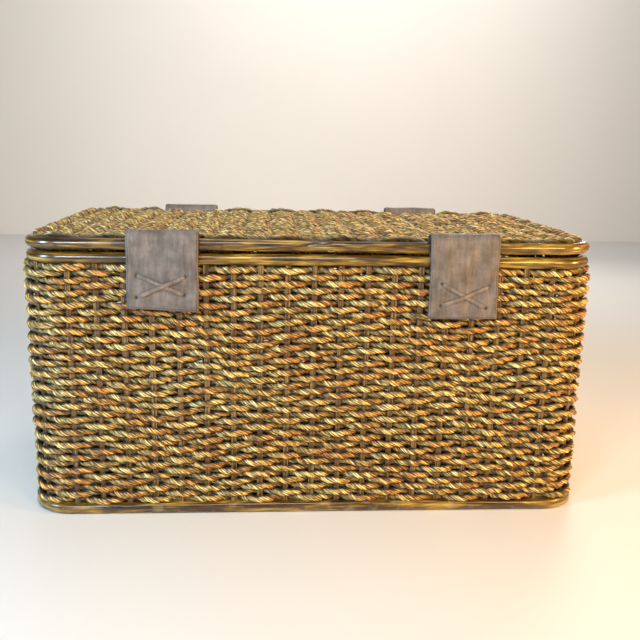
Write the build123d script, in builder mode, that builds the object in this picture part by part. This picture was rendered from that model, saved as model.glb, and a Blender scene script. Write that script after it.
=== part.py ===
from build123d import *
import os

# Lidded trunk basket: seagrass rope woven on rattan stakes, three rattan rims,
# a lid hung on two leather straps and two leather closing tabs at the front.
# Frame: origin at the middle of the underside, +Z up, front towards -Y, millimetres.

os.makedirs("parts", exist_ok=True)

# ---- driving dimensions -------------------------------------------------
WIDTH = 606.0          # over the rims, left to right
DEPTH = 340.0          # over the rims, front to back
CORNER_R = 42.0        # plan radius of the rims' outer edge
RAIL_D = 12.4          # body rim and lid rim poles
RAIL_R = RAIL_D / 2
HX = WIDTH / 2 - RAIL_R        # half width on the rims' centre line
HY = DEPTH / 2 - RAIL_R        # half depth on the rims' centre line
RC = CORNER_R - RAIL_R         # corner radius on the rims' centre line
BODY_RIM_Z = 279.5     # centre height of the body rim
LID_RIM_Z = 294.6      # centre height of the lid rim, 2.7 mm clear above the body rim

WALL_OFF = 1.2         # the walls stand this far outside the rims' centre line
WX = HX + WALL_OFF     # half width and half depth on the walls' centre line
WY = HY + WALL_OFF
RW = RC + WALL_OFF
BASE_HX = 306.5        # base rim, outer half width and half depth
BASE_HY = 173.5
BASE_RC = 45.5
BASE_RIM_W = 15.0      # base rim section, flat underneath
BASE_RIM_H = 12.0
WALL_T = 14.0          # rope outside and inside of the stakes
WALL_Z0 = 12.3
WALL_Z1 = 273.0
STAKE_W = 6.0
STAKE_T = 3.0
SLOT_GAP = 0.25        # room round a stake in the weave
SOCKET = 4.0           # how far a stake is let into a rim
N_FRONT = 19           # stakes in the straight run of the front and back walls
PITCH_FRONT = 28.2
N_SIDE = 9
PITCH_SIDE = 29.0

LID_WEAVE_Z0 = 288.4
LID_WEAVE_Z1 = 304.6
LID_STAKE_Z = 296.5
N_LID = 19
PITCH_LID = 29.5

BASE_WEAVE_Z0 = 2.0
BASE_WEAVE_Z1 = 11.0
BASE_STAKE_Z = 6.5

STRAP_X = 156.2        # strap centres, left and right of the middle
STRAP_W = 73.0
LOOP_IN = 6.5          # leather loop round the lid rim, inner radius
LOOP_OUT = 8.6
TAIL_IN = 8.6          # the two hanging layers, distance from the rim's centre line
TAIL_OUT = 12.6
NOTCH_R = 13.4         # room in the lid weave for a loop and its tail
TAB_BOTTOM = {"left": 228.5, "right": 221.0}
HINGE_BOTTOM = 222.0
HOLE_DX = 25.0
HOLE_UP = 36.0
HOLE_LOW = 13.0
HOLE_R = 2.2
LACE_W = 3.6
LACE_T = 1.1


def rounded(hx, hy, r):
    RectangleRounded(2 * hx, 2 * hy, r)


def front_xs(n, pitch):
    return [(i - (n - 1) / 2) * pitch for i in range(n)]


XS_WALL = front_xs(N_FRONT, PITCH_FRONT)
YS_WALL = front_xs(N_SIDE, PITCH_SIDE)
XS_LID = front_xs(N_LID, PITCH_LID)

# centre points of the four rounded corners
CORNERS = {
    "front_left": (-(HX - RC), -(HY - RC), 225),
    "front_right": (HX - RC, -(HY - RC), 315),
    "back_left": (-(HX - RC), HY - RC, 135),
    "back_right": (HX - RC, HY - RC, 45),
}

# ---- rims ---------------------------------------------------------------
# Each rim is one bent pole, closed on itself by a scarf joint.


def pocket_sketch_points():
    pts = []
    for x in XS_WALL:
        pts.append((x, -WY, 0))
        pts.append((x, WY, 0))
    for y in YS_WALL:
        pts.append((-WX, y, 90))
        pts.append((WX, y, 90))
    for cx, cy, a in CORNERS.values():
        v = Vector(RW, 0).rotate(Axis.Z, a)
        pts.append((cx + v.X, cy + v.Y, a - 90))
    return pts


POCKETS = pocket_sketch_points()


def pockets(extra):
    for x, y, a in POCKETS:
        with Locations(Location((x, y, 0), (0, 0, a))):
            Rectangle(STAKE_W + 2 * extra, STAKE_T + 2 * extra)


with BuildPart() as body_rim:
    with BuildLine(Plane.XY.offset(BODY_RIM_Z)) as body_path:
        FilletPolyline((HX, -HY), (HX, HY), (-HX, HY), (-HX, -HY), radius=RC, close=True)
    with BuildSketch(Plane(origin=body_path.wire() @ 0, z_dir=body_path.wire() % 0)):
        Circle(RAIL_R)
    sweep(path=body_path.wire())
    # sockets for the heads of the wall stakes
    with BuildSketch(Plane.XY.offset(WALL_Z1 - 1.0)):
        pockets(SLOT_GAP)
    extrude(amount=SOCKET + 1.3, mode=Mode.SUBTRACT)
body_rim.part.label = "body_rim"
export_step(body_rim.part, "parts/body_rim.step")

with BuildPart() as lid_rim:
    with BuildLine(Plane.XY.offset(LID_RIM_Z)) as lid_path:
        FilletPolyline((HX, -HY), (HX, HY), (-HX, HY), (-HX, -HY), radius=RC, close=True)
    with BuildSketch(Plane(origin=lid_path.wire() @ 0, z_dir=lid_path.wire() % 0)):
        Circle(RAIL_R)
    sweep(path=lid_path.wire())
    # sockets for the lid stakes, in the inner side of the front and back runs
    with BuildSketch(Plane.XZ.offset(HY - 2.2)):
        for x in [x for x in XS_LID if abs(abs(x) - STRAP_X) > STRAP_W / 2 + 3]:
            with Locations((x, LID_STAKE_Z)):
                Rectangle(STAKE_W + 2 * SLOT_GAP, STAKE_T + 2 * SLOT_GAP)
    extrude(amount=-2 * (HY - 2.2), mode=Mode.SUBTRACT)
lid_rim.part.label = "lid_rim"
export_step(lid_rim.part, "parts/lid_rim.step")

with BuildPart() as base_rim:
    with BuildSketch():
        rounded(BASE_HX, BASE_HY, BASE_RC)
        with BuildSketch(mode=Mode.PRIVATE) as base_hole:
            rounded(BASE_HX - BASE_RIM_W, BASE_HY - BASE_RIM_W, BASE_RC - BASE_RIM_W)
        add(base_hole.sketch, mode=Mode.SUBTRACT)
    extrude(amount=BASE_RIM_H)
    top_outer = base_rim.faces().sort_by(Axis.Z)[-1].outer_wire().edges()
    fillet(top_outer, radius=4.0)
    low_outer = base_rim.faces().sort_by(Axis.Z)[0].outer_wire().edges()
    fillet(low_outer, radius=3.0)
    # sockets for the feet of the wall stakes
    with BuildSketch(Plane.XY.offset(BASE_RIM_H - SOCKET)):
        pockets(SLOT_GAP)
    extrude(amount=SOCKET + 1, mode=Mode.SUBTRACT)
    # sockets for the base stakes
    with BuildSketch(Plane.XZ.offset(BASE_HY - BASE_RIM_W + SOCKET)):
        for x in XS_LID:
            with Locations((x, BASE_STAKE_Z)):
                Rectangle(STAKE_W + 2 * SLOT_GAP, STAKE_T + 2 * SLOT_GAP)
    extrude(amount=-2 * (BASE_HY - BASE_RIM_W + SOCKET), mode=Mode.SUBTRACT)
base_rim.part.label = "base_rim"
export_step(base_rim.part, "parts/base_rim.step")

# ---- wall stakes: flat rattan uprights ------------------------------------
STAKE_Z0 = BASE_RIM_H - SOCKET + 0.2
STAKE_Z1 = WALL_Z1 + SOCKET - 0.2


def stake_group(name, spots):
    with BuildPart() as stakes:
        with BuildSketch(Plane.XY.offset(STAKE_Z0)):
            for x, y, a in spots:
                with Locations(Location((x, y, 0), (0, 0, a))):
                    RectangleRounded(STAKE_W, STAKE_T, 0.9)
        extrude(amount=STAKE_Z1 - STAKE_Z0)
    stakes.part.label = name
    export_step(stakes.part, "parts/" + name + ".step")


stake_group("stakes_front", [p for p in POCKETS if p[1] == -WY])
stake_group("stakes_back", [p for p in POCKETS if p[1] == WY])
stake_group("stakes_left", [p for p in POCKETS if p[0] == -WX])
stake_group("stakes_right", [p for p in POCKETS if p[0] == WX])
stake_group("stakes_corners", POCKETS[-4:])

# ---- wall weave -----------------------------------------------------------
# The rope rows, drawn as the closed wall that they fill, with a channel for
# every stake. Four flat runs and four rounded corners meet face to face.
SX = HX - RC
SY = HY - RC
THONG_Z = (HINGE_BOTTOM + HOLE_UP, HINGE_BOTTOM + HOLE_LOW)


def wall_run(name, cx, cy, w, d, thongs=False):
    with BuildPart() as run:
        with BuildSketch(Plane.XY.offset(WALL_Z0)):
            with Locations((cx, cy)):
                Rectangle(w, d)
            for x, y, a in POCKETS[:-4]:
                if abs(x - cx) < w / 2 and abs(y - cy) < d / 2:
                    with Locations(Location((x, y, 0), (0, 0, a))):
                        Rectangle(STAKE_W + 2 * SLOT_GAP, STAKE_T + 2 * SLOT_GAP, mode=Mode.SUBTRACT)
        extrude(amount=WALL_Z1 - WALL_Z0)
        if thongs:
            # holes for the thongs of the hinge straps
            with BuildSketch(Plane.XZ.offset(-(WY + WALL_T / 2 + 1))):
                for sx in (-STRAP_X, STRAP_X):
                    for dx in (-HOLE_DX, HOLE_DX):
                        for z in THONG_Z:
                            with Locations((sx + dx, z)):
                                Circle(HOLE_R)
            extrude(amount=5.2, mode=Mode.SUBTRACT)
    run.part.label = name
    export_step(run.part, "parts/" + name + ".step")


wall_run("weave_front", 0, -WY, 2 * SX, WALL_T)
wall_run("weave_back", 0, WY, 2 * SX, WALL_T, thongs=True)
wall_run("weave_left", -WX, 0, WALL_T, 2 * SY)
wall_run("weave_right", WX, 0, WALL_T, 2 * SY)

for corner, (cx, cy, a) in CORNERS.items():
    with BuildPart() as weave_corner:
        with BuildSketch(Plane(origin=(cx, cy, WALL_Z0), x_dir=Vector(1, 0, 0).rotate(Axis.Z, a), z_dir=(0, 0, 1))):
            with BuildLine():
                ro, ri = RW + WALL_T / 2, RW - WALL_T / 2
                CenterArc((0, 0), ro, -45, 90)
                CenterArc((0, 0), ri, -45, 90)
                Line(Vector(ri, 0).rotate(Axis.Z, 45), Vector(ro, 0).rotate(Axis.Z, 45))
                Line(Vector(ri, 0).rotate(Axis.Z, -45), Vector(ro, 0).rotate(Axis.Z, -45))
            make_face()
            with Locations((RW, 0)):
                Rectangle(STAKE_T + 2 * SLOT_GAP, STAKE_W + 2 * SLOT_GAP, mode=Mode.SUBTRACT)
        extrude(amount=WALL_Z1 - WALL_Z0)
    name = "weave_corner_" + corner
    weave_corner.part.label = name
    export_step(weave_corner.part, "parts/" + name + ".step")

# ---- base -----------------------------------------------------------------
with BuildPart() as base_weave:
    with BuildSketch(Plane.XY.offset(BASE_WEAVE_Z0)):
        rounded(BASE_HX - BASE_RIM_W - 0.1, BASE_HY - BASE_RIM_W - 0.1, BASE_RC - BASE_RIM_W)
    extrude(amount=BASE_WEAVE_Z1 - BASE_WEAVE_Z0)
    with BuildSketch(Plane.XZ.offset(DEPTH)):
        for x in XS_LID:
            with Locations((x, BASE_STAKE_Z)):
                Rectangle(STAKE_W + 2 * SLOT_GAP, STAKE_T + 2 * SLOT_GAP)
    extrude(amount=-2 * DEPTH, mode=Mode.SUBTRACT)
base_weave.part.label = "base_weave"
export_step(base_weave.part, "parts/base_weave.step")


def flat_stakes(name, z, half, notched=False):
    with BuildPart() as stakes:
        with BuildSketch(Plane.XZ.offset(half)):
            for x in XS_LID:
                with Locations((x, z)):
                    RectangleRounded(STAKE_W, STAKE_T, 0.9)
        extrude(amount=-2 * half)
        if notched:
            # the stakes behind a strap end at its notch
            for sx in (-STRAP_X, STRAP_X):
                with BuildSketch(Plane.YZ.offset(sx - STRAP_W / 2 - 5.0)):
                    with Locations((-HY, LID_RIM_Z), (HY, LID_RIM_Z)):
                        Circle(NOTCH_R)
                extrude(amount=STRAP_W + 10.0, mode=Mode.SUBTRACT)
    stakes.part.label = name
    export_step(stakes.part, "parts/" + name + ".step")


flat_stakes("base_stakes", BASE_STAKE_Z, BASE_HY - BASE_RIM_W + SOCKET - 0.3)
flat_stakes("lid_stakes", LID_STAKE_Z, HY - 2.5, notched=True)

# ---- lid weave --------------------------------------------------------------
# A woven panel inside the lid rim, its border carried out over the top of the rim,
# cut away round each leather loop.
with BuildPart() as lid_weave:
    with BuildSketch(Plane.XY.offset(LID_WEAVE_Z0)):
        rounded(HX - RAIL_R - 0.3, HY - RAIL_R - 0.3, RC - RAIL_R)
    extrude(amount=LID_WEAVE_Z1 - LID_WEAVE_Z0)
    with BuildSketch(Plane.XY.offset(LID_RIM_Z + RAIL_R + 0.4)):
        rounded(HX + 1.0, HY + 1.0, RC)
    extrude(amount=LID_WEAVE_Z1 - LID_RIM_Z - RAIL_R - 0.4)
    with BuildSketch(Plane.XZ.offset(DEPTH)):
        for x in XS_LID:
            with Locations((x, LID_STAKE_Z)):
                Rectangle(STAKE_W + 2 * SLOT_GAP, STAKE_T + 2 * SLOT_GAP)
    extrude(amount=-2 * DEPTH, mode=Mode.SUBTRACT)
    for sx in (-STRAP_X, STRAP_X):
        with BuildSketch(Plane.YZ.offset(sx - STRAP_W / 2 - 1.0)):
            with Locations((-HY, LID_RIM_Z), (HY, LID_RIM_Z)):
                Circle(NOTCH_R)
        extrude(amount=STRAP_W + 2.0, mode=Mode.SUBTRACT)
lid_weave.part.label = "lid_weave"
export_step(lid_weave.part, "parts/lid_weave.step")

# ---- leather straps -----------------------------------------------------------
# One strip folded in half round the lid rim: the fold is the loop, the two
# layers hang outside the body rim. side is -1 at the front and +1 at the back.


def strap(name, sx, side, bottom):
    with BuildPart() as leather:
        with BuildSketch(Plane.YZ.offset(sx - STRAP_W / 2)):
            with Locations((side * HY, LID_RIM_Z)):
                Circle(LOOP_OUT)
            with BuildLine():
                Polyline(
                    (side * (HY + TAIL_IN), bottom),
                    (side * (HY + TAIL_OUT), bottom),
                    (side * (HY + TAIL_OUT), LID_RIM_Z - 9.0),
                    (side * (HY + LOOP_OUT - 0.6), LID_RIM_Z + 2.6),
                    (side * (HY + LOOP_IN + 0.4), LID_RIM_Z - 1.0),
                    (side * (HY + TAIL_IN), LID_RIM_Z - 8.0),
                    close=True,
                )
            make_face()
            with Locations((side * HY, LID_RIM_Z)):
                Circle(LOOP_IN, mode=Mode.SUBTRACT)
        extrude(amount=STRAP_W)
        # four punched holes
        with BuildSketch(Plane.XZ.offset(-side * (HY + TAIL_OUT + 1) if side > 0 else HY + TAIL_IN - 1)):
            for dx in (-HOLE_DX, HOLE_DX):
                for dz in (HOLE_LOW, HOLE_UP):
                    with Locations((sx + dx, bottom + dz)):
                        Circle(HOLE_R)
        extrude(amount=TAIL_OUT - TAIL_IN + 2, mode=Mode.SUBTRACT)
    leather.part.label = name
    export_step(leather.part, "parts/" + name + ".step")


# A flat thong laced in an X over the four holes, its legs through the leather.
def lace(name, sx, side, bottom, leg):
    face = HY + TAIL_OUT + 0.1
    with BuildPart() as thong:
        run = Vector(2 * HOLE_DX, HOLE_UP - HOLE_LOW)
        angle = Vector(1, 0).get_angle(run)
        mid = (sx, bottom + (HOLE_UP + HOLE_LOW) / 2)
        for a in (angle, -angle):
            with BuildSketch(Plane.XZ.offset(-side * face)):
                with Locations(Location((mid[0], mid[1], 0), (0, 0, a))):
                    SlotCenterToCenter(run.length, LACE_W)
            extrude(amount=-side * LACE_T)
        with BuildSketch(Plane.XZ.offset(-side * (face - leg))):
            for dx in (-HOLE_DX, HOLE_DX):
                for dz in (HOLE_LOW, HOLE_UP):
                    with Locations((sx + dx, bottom + dz)):
                        Circle(HOLE_R - 0.4)
        extrude(amount=-side * (leg + LACE_T / 2))
    thong.part.label = name
    export_step(thong.part, "parts/" + name + ".step")


for hand, sx in (("left", -STRAP_X), ("right", STRAP_X)):
    strap("hinge_strap_" + hand, sx, 1, HINGE_BOTTOM)
    lace("hinge_lace_" + hand, sx, 1, HINGE_BOTTOM, 8.4)
    strap("tab_strap_" + hand, sx, -1, TAB_BOTTOM[hand])
    lace("tab_lace_" + hand, sx, -1, TAB_BOTTOM[hand], 3.9)

# ---- wire staple over the scarf joint of the lid rim ---------------------------
with BuildPart() as lid_rim_staple:
    with BuildSketch(Plane.XZ.offset(HY + RAIL_R + 0.1)):
        with Locations((16.0, LID_RIM_Z - 1.6)):
            RectangleRounded(1.0, 6.6, 0.45)
    extrude(amount=0.7)
lid_rim_staple.part.label = "lid_rim_staple"
export_step(lid_rim_staple.part, "parts/lid_rim_staple.step")
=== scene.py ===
import bpy
import math
import numpy as np
from mathutils import Matrix, Vector


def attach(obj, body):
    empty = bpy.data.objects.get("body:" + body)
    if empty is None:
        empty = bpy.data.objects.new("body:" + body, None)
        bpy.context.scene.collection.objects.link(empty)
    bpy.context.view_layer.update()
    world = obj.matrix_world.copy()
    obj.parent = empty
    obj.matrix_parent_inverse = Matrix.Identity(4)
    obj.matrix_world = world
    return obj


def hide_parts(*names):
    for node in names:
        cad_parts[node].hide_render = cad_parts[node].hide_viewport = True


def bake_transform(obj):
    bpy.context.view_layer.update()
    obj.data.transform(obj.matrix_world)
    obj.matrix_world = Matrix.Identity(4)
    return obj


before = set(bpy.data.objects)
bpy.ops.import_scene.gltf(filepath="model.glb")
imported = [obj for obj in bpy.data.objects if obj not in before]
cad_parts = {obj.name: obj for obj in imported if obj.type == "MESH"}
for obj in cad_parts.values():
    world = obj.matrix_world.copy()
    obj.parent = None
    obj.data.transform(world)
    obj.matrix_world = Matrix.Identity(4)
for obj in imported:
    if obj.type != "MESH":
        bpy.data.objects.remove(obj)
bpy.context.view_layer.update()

# All lengths below are metres, in the basket's own frame: origin at the middle of the
# underside, +Z up, the front towards -Y.

SEED = 41
MM = 0.001


# =====================================================================
#  Camera: the photograph's viewing point
# =====================================================================
def make_camera():
    f_px, yaw, pitch, roll = 796.8, 0.071, 0.220, 0.021
    pos = Vector((-0.052, -0.9853, 0.4004))
    fwd = Vector((math.sin(yaw) * math.cos(pitch), math.cos(yaw) * math.cos(pitch), -math.sin(pitch)))
    right = fwd.cross(Vector((0, 0, 1))).normalized()
    up = right.cross(fwd)
    r2 = right * math.cos(roll) + up * math.sin(roll)
    u2 = -right * math.sin(roll) + up * math.cos(roll)
    cam = bpy.data.cameras.new("camera")
    cam.sensor_fit = "HORIZONTAL"
    cam.sensor_width = 36.0
    cam.lens = f_px / 640.0 * 36.0
    cam.clip_start = 0.02
    cam.clip_end = 30.0
    ob = bpy.data.objects.new("camera", cam)
    bpy.context.scene.collection.objects.link(ob)
    m = Matrix(((r2.x, u2.x, -fwd.x, pos.x), (r2.y, u2.y, -fwd.y, pos.y), (r2.z, u2.z, -fwd.z, pos.z), (0, 0, 0, 1)))
    ob.matrix_world = m
    bpy.context.scene.camera = ob
    return ob


make_camera()


# =====================================================================
#  Small numeric tools
# =====================================================================
def smoothnoise1(n, rng, step):
    """Smooth seeded noise over n samples, about one hump every `step` samples."""
    k = max(4, int(n / step) + 4)
    pts = rng.uniform(-1, 1, k)
    x = np.linspace(1, k - 2.001, n)
    i = x.astype(int)
    t = x - i
    t = t * t * (3 - 2 * t)
    return pts[i] * (1 - t) + pts[i + 1] * t


class Field:
    """Smooth seeded noise over a surface, from a few long sine waves."""

    def __init__(self, rng, wave, count=9, spread=0.5):
        ang = rng.uniform(0, 2 * math.pi, count)
        k = 2 * math.pi / (wave * rng.uniform(1 - spread, 1 + spread, count))
        self.kx, self.ky = k * np.cos(ang), k * np.sin(ang)
        self.ph = rng.uniform(0, 2 * math.pi, count)
        self.a = 1.0 / math.sqrt(count / 2)

    def __call__(self, x, y):
        out = 0
        for kx, ky, ph in zip(self.kx, self.ky, self.ph):
            out = out + np.sin(kx * x + ky * y + ph)
        return out * self.a * 0.7


def mesh_object(name, verts, faces_quads, uvs=None, attrs=None, smooth=True, tris=None, mat=None, uv2=None):
    """verts (n,3), quads (m,4) int, uvs (m*4,2), attrs {name: (n,) float}"""
    me = bpy.data.meshes.new(name)
    q = np.asarray(faces_quads, dtype=np.int32)
    t = np.asarray(tris, dtype=np.int32) if tris is not None and len(tris) else np.zeros((0, 3), np.int32)
    nv = len(verts)
    me.vertices.add(nv)
    me.vertices.foreach_set("co", np.asarray(verts, dtype=np.float32).ravel())
    nl = len(q) * 4 + len(t) * 3
    me.loops.add(nl)
    me.loops.foreach_set("vertex_index", np.concatenate([q.ravel(), t.ravel()]))
    me.polygons.add(len(q) + len(t))
    starts = np.concatenate([np.arange(len(q)) * 4, len(q) * 4 + np.arange(len(t)) * 3]).astype(np.int32)
    me.polygons.foreach_set("loop_start", starts)
    me.update(calc_edges=True)
    if smooth:
        me.polygons.foreach_set("use_smooth", np.ones(len(me.polygons), dtype=bool))
    if uvs is not None:
        uv = me.uv_layers.new(name="OFBake")
        u = np.asarray(uvs, dtype=np.float32)
        if len(t) and len(u) < nl:
            u = np.vstack([u, np.zeros((nl - len(u), 2), np.float32)])
        uv.data.foreach_set("uv", u.ravel())
    if uv2 is not None:
        fl = me.uv_layers.new(name="fib")
        u = np.asarray(uv2, dtype=np.float32)
        if len(u) < nl:
            u = np.vstack([u, np.zeros((nl - len(u), 2), np.float32)])
        fl.data.foreach_set("uv", u.ravel())
    if attrs:
        for k, v in attrs.items():
            a = me.attributes.new(k, "FLOAT", "POINT")
            a.data.foreach_set("value", np.asarray(v, dtype=np.float32))
    me.validate()
    ob = bpy.data.objects.new(name, me)
    bpy.context.scene.collection.objects.link(ob)
    if mat is not None:
        me.materials.append(mat)
    return ob


# =====================================================================
#  Material tools
# =====================================================================
class NT:
    """Short helper for building a material's nodes."""

    def __init__(self, name):
        self.mat = bpy.data.materials.new(name)
        self.mat.use_nodes = True
        self.t = self.mat.node_tree
        self.t.nodes.clear()
        self.out = self.t.nodes.new("ShaderNodeOutputMaterial")
        self.bsdf = self.t.nodes.new("ShaderNodeBsdfPrincipled")
        self.t.links.new(self.bsdf.outputs[0], self.out.inputs[0])

    def n(self, kind, **kw):
        nd = self.t.nodes.new(kind)
        for k, v in kw.items():
            setattr(nd, k, v)
        return nd

    def link(self, a, b):
        self.t.links.new(a, b)

    def setin(self, node, key, val):
        if hasattr(val, "is_linked") or isinstance(val, bpy.types.NodeSocket):
            self.link(val, node.inputs[key])
        else:
            node.inputs[key].default_value = val

    def math(self, op, a, b=None, c=None, clamp=False):
        nd = self.n("ShaderNodeMath", operation=op, use_clamp=clamp)
        self.setin(nd, 0, a)
        if b is not None:
            self.setin(nd, 1, b)
        if c is not None:
            self.setin(nd, 2, c)
        return nd.outputs[0]

    def attr(self, name):
        nd = self.n("ShaderNodeAttribute", attribute_name=name, attribute_type="GEOMETRY")
        return nd.outputs["Fac"]

    def coords(self, kind="Object"):
        return self.n("ShaderNodeTexCoord").outputs[kind]

    def uv(self, name="fib"):
        nd = self.n("ShaderNodeUVMap", uv_map=name)
        return nd.outputs[0]

    def mapping(self, vec, scale=(1, 1, 1), loc=(0, 0, 0), rot=(0, 0, 0)):
        nd = self.n("ShaderNodeMapping")
        self.link(vec, nd.inputs["Vector"])
        nd.inputs["Scale"].default_value = scale
        nd.inputs["Location"].default_value = loc
        nd.inputs["Rotation"].default_value = rot
        return nd.outputs[0]

    def noise(self, vec, scale, detail=2.0, rough=0.5, dist=0.0, color=False, dim="3D", w=None):
        nd = self.n("ShaderNodeTexNoise", noise_dimensions=dim)
        if vec is not None:
            self.link(vec, nd.inputs["Vector"])
        nd.inputs["Scale"].default_value = scale
        nd.inputs["Detail"].default_value = detail
        nd.inputs["Roughness"].default_value = rough
        nd.inputs["Distortion"].default_value = dist
        if w is not None:
            self.setin(nd, "W", w)
        return nd.outputs[1 if color else 0]

    def ramp(self, fac, stops, interp="LINEAR"):
        nd = self.n("ShaderNodeValToRGB")
        cr = nd.color_ramp
        cr.interpolation = interp
        while len(cr.elements) > len(stops):
            cr.elements.remove(cr.elements[-1])
        while len(cr.elements) < len(stops):
            cr.elements.new(0.5)
        for e, (p, c) in zip(cr.elements, stops):
            e.position = p
            e.color = (*c, 1.0) if len(c) == 3 else c
        self.link(fac, nd.inputs[0])
        return nd.outputs[0]

    def mix(self, fac, a, b, mode="MIX"):
        nd = self.n("ShaderNodeMix", data_type="RGBA", blend_type=mode)
        nd.clamp_factor = True
        self.setin(nd, 0, fac)
        self.setin(nd, 6, a if not isinstance(a, tuple) or len(a) == 4 else (*a, 1.0))
        self.setin(nd, 7, b if not isinstance(b, tuple) or len(b) == 4 else (*b, 1.0))
        return nd.outputs[2]

    def maprange(self, v, a, b, c, d, clamp=True):
        nd = self.n("ShaderNodeMapRange", clamp=clamp)
        self.link(v, nd.inputs[0])
        for i, x in zip((1, 2, 3, 4), (a, b, c, d)):
            nd.inputs[i].default_value = x
        return nd.outputs[0]

    def sep(self, vec):
        nd = self.n("ShaderNodeSeparateXYZ")
        self.link(vec, nd.inputs[0])
        return nd.outputs

    def comb(self, x, y, z):
        nd = self.n("ShaderNodeCombineXYZ")
        for i, v in enumerate((x, y, z)):
            self.setin(nd, i, v)
        return nd.outputs[0]

    def bump(self, height, dist, strength=1.0, normal=None):
        nd = self.n("ShaderNodeBump")
        self.link(height, nd.inputs["Height"])
        nd.inputs["Distance"].default_value = dist
        nd.inputs["Strength"].default_value = strength
        if normal is not None:
            self.link(normal, nd.inputs["Normal"])
        return nd.outputs[0]

    def base(self, v):
        self.setin(self.bsdf, "Base Color", v if not isinstance(v, tuple) else (*v, 1.0))

    def rough(self, v):
        self.setin(self.bsdf, "Roughness", v)

    def normal(self, v):
        self.link(v, self.bsdf.inputs["Normal"])

    def const(self, key, v):
        self.bsdf.inputs[key].default_value = v



def rope_material(name, dark=1.0):
    m = NT(name)
    u, v, _ = m.sep(m.uv())       # metres along the rope, turns round it (plus an offset per rope)
    # tint: random tone of the rope; on the walls it also carries each float's painted cool and warm side light
    tint = m.attr("tint")
    groove = m.attr("groove")     # 1 on a strand's crown, 0 in the groove between strands
    # fibres run along the strand: long in u, short in v
    n1 = m.noise(m.comb(m.math("MULTIPLY", u, 75.0), m.math("MULTIPLY", v, 15.0), tint), 1.0, 2.0, 0.6)
    n2 = m.noise(m.comb(m.math("MULTIPLY", u, 190.0), m.math("MULTIPLY", v, 62.0), 3.7), 1.0, 2.0, 0.6)
    n3 = m.noise(m.comb(m.math("MULTIPLY", u, 46.0), m.math("MULTIPLY", v, 5.0), 8.1), 1.0, 2.0, 0.5)
    n4 = m.noise(m.comb(m.math("MULTIPLY", u, 210.0), m.math("MULTIPLY", v, 11.0), 5.5), 1.0, 1.0, 0.5)
    s = m.math("ADD", m.math("MULTIPLY", n1, 0.42), m.math("ADD", m.math("MULTIPLY", n2, 0.20), m.math("MULTIPLY", n4, 0.38)))
    straw = m.ramp(s, [(0.41, (0.060, 0.028, 0.004)), (0.47, (0.29, 0.165, 0.024)), (0.53, (0.68, 0.430, 0.080)), (0.59, (1.0, 0.86, 0.400))])
    brown = m.ramp(s, [(0.40, (0.050, 0.017, 0.003)), (0.47, (0.25, 0.100, 0.012)), (0.54, (0.62, 0.290, 0.040)), (0.62, (0.95, 0.60, 0.170))])
    green = m.ramp(s, [(0.40, (0.045, 0.034, 0.009)), (0.47, (0.23, 0.175, 0.050)), (0.54, (0.52, 0.430, 0.150)), (0.62, (0.95, 0.88, 0.480))])
    k = m.math("ADD", m.math("MULTIPLY", tint, 0.70), m.math("MULTIPLY", n3, 0.60))
    c = m.mix(m.maprange(k, 0.64, 0.80, 0, 1), straw, brown)
    c = m.mix(m.maprange(k, 0.52, 0.34, 0, 0.8), c, green)
    # painted shade: the colour is darkened in the grooves between strands (groove), where a rope faces the rows above
    # and below, and on its face turned to a stake (ao); the most exposed faces are lifted a little above the rope's
    # colour as painted light
    shade = m.math("MULTIPLY", m.maprange(groove, 0.10, 0.75, 0.06, 1.0), m.maprange(m.attr("ao"), 0.22, 0.80, 0.01, 1.20))
    c = m.mix(1.0, c, shade, "MULTIPLY")
    if dark != 1.0:
        c = m.mix(1.0, c, (dark, dark, dark), "MULTIPLY")
    m.base(c)
    m.rough(m.maprange(n1, 0.35, 0.65, 0.58, 0.32))
    m.const("Specular IOR Level", 0.55)
    m.const("Sheen Weight", 0.10)
    m.normal(m.bump(s, 0.0014, 1.0))
    return m.mat


def pole_material(name, worn=0.0):
    """Stained and varnished rattan: long grain, dark streaks, darker joints."""
    m = NT(name)
    u, v, _ = m.sep(m.uv())       # metres along and round the pole
    joint = m.attr("joint")
    big = m.noise(m.comb(m.math("MULTIPLY", u, 9.0), m.math("MULTIPLY", v, 60.0), 1.3), 1.0, 3.0, 0.55)
    fine = m.noise(m.comb(m.math("MULTIPLY", u, 26.0), m.math("MULTIPLY", v, 900.0), 4.1), 1.0, 3.0, 0.6)
    blot = m.noise(m.comb(m.math("MULTIPLY", u, 14.0), m.math("MULTIPLY", v, 110.0), 9.3), 1.0, 2.0, 0.6)
    mid = m.noise(m.comb(m.math("MULTIPLY", u, 38.0), m.math("MULTIPLY", v, 330.0), 6.6), 1.0, 2.0, 0.55)
    s = m.math("ADD", m.math("MULTIPLY", big, 0.40), m.math("ADD", m.math("MULTIPLY", fine, 0.20), m.math("MULTIPLY", mid, 0.40)))
    c = m.ramp(s, [(0.38, (0.008, 0.003, 0.001)), (0.46, (0.060, 0.030, 0.003)), (0.53, (0.200, 0.115, 0.012)), (0.61, (0.50, 0.33, 0.048))])
    c = m.mix(m.maprange(blot, 0.52, 0.62, 0, 0.8), c, (0.030, 0.011, 0.003))
    c = m.mix(m.math("MULTIPLY", joint, 0.8), c, (0.025, 0.011, 0.004))
    if worn:
        w = m.noise(m.coords("Object"), 60.0, 4.0, 0.65)
        c = m.mix(m.maprange(w, 0.56, 0.66, 0, worn), c, (0.40, 0.31, 0.15))
    m.base(c)
    m.rough(m.maprange(fine, 0.3, 0.7, 0.36, 0.22))
    m.const("Specular IOR Level", 0.5)
    m.const("Coat Weight", 0.55)
    m.const("Coat Roughness", 0.12)
    m.normal(m.bump(s, 0.0006, 0.5))
    return m.mat


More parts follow.
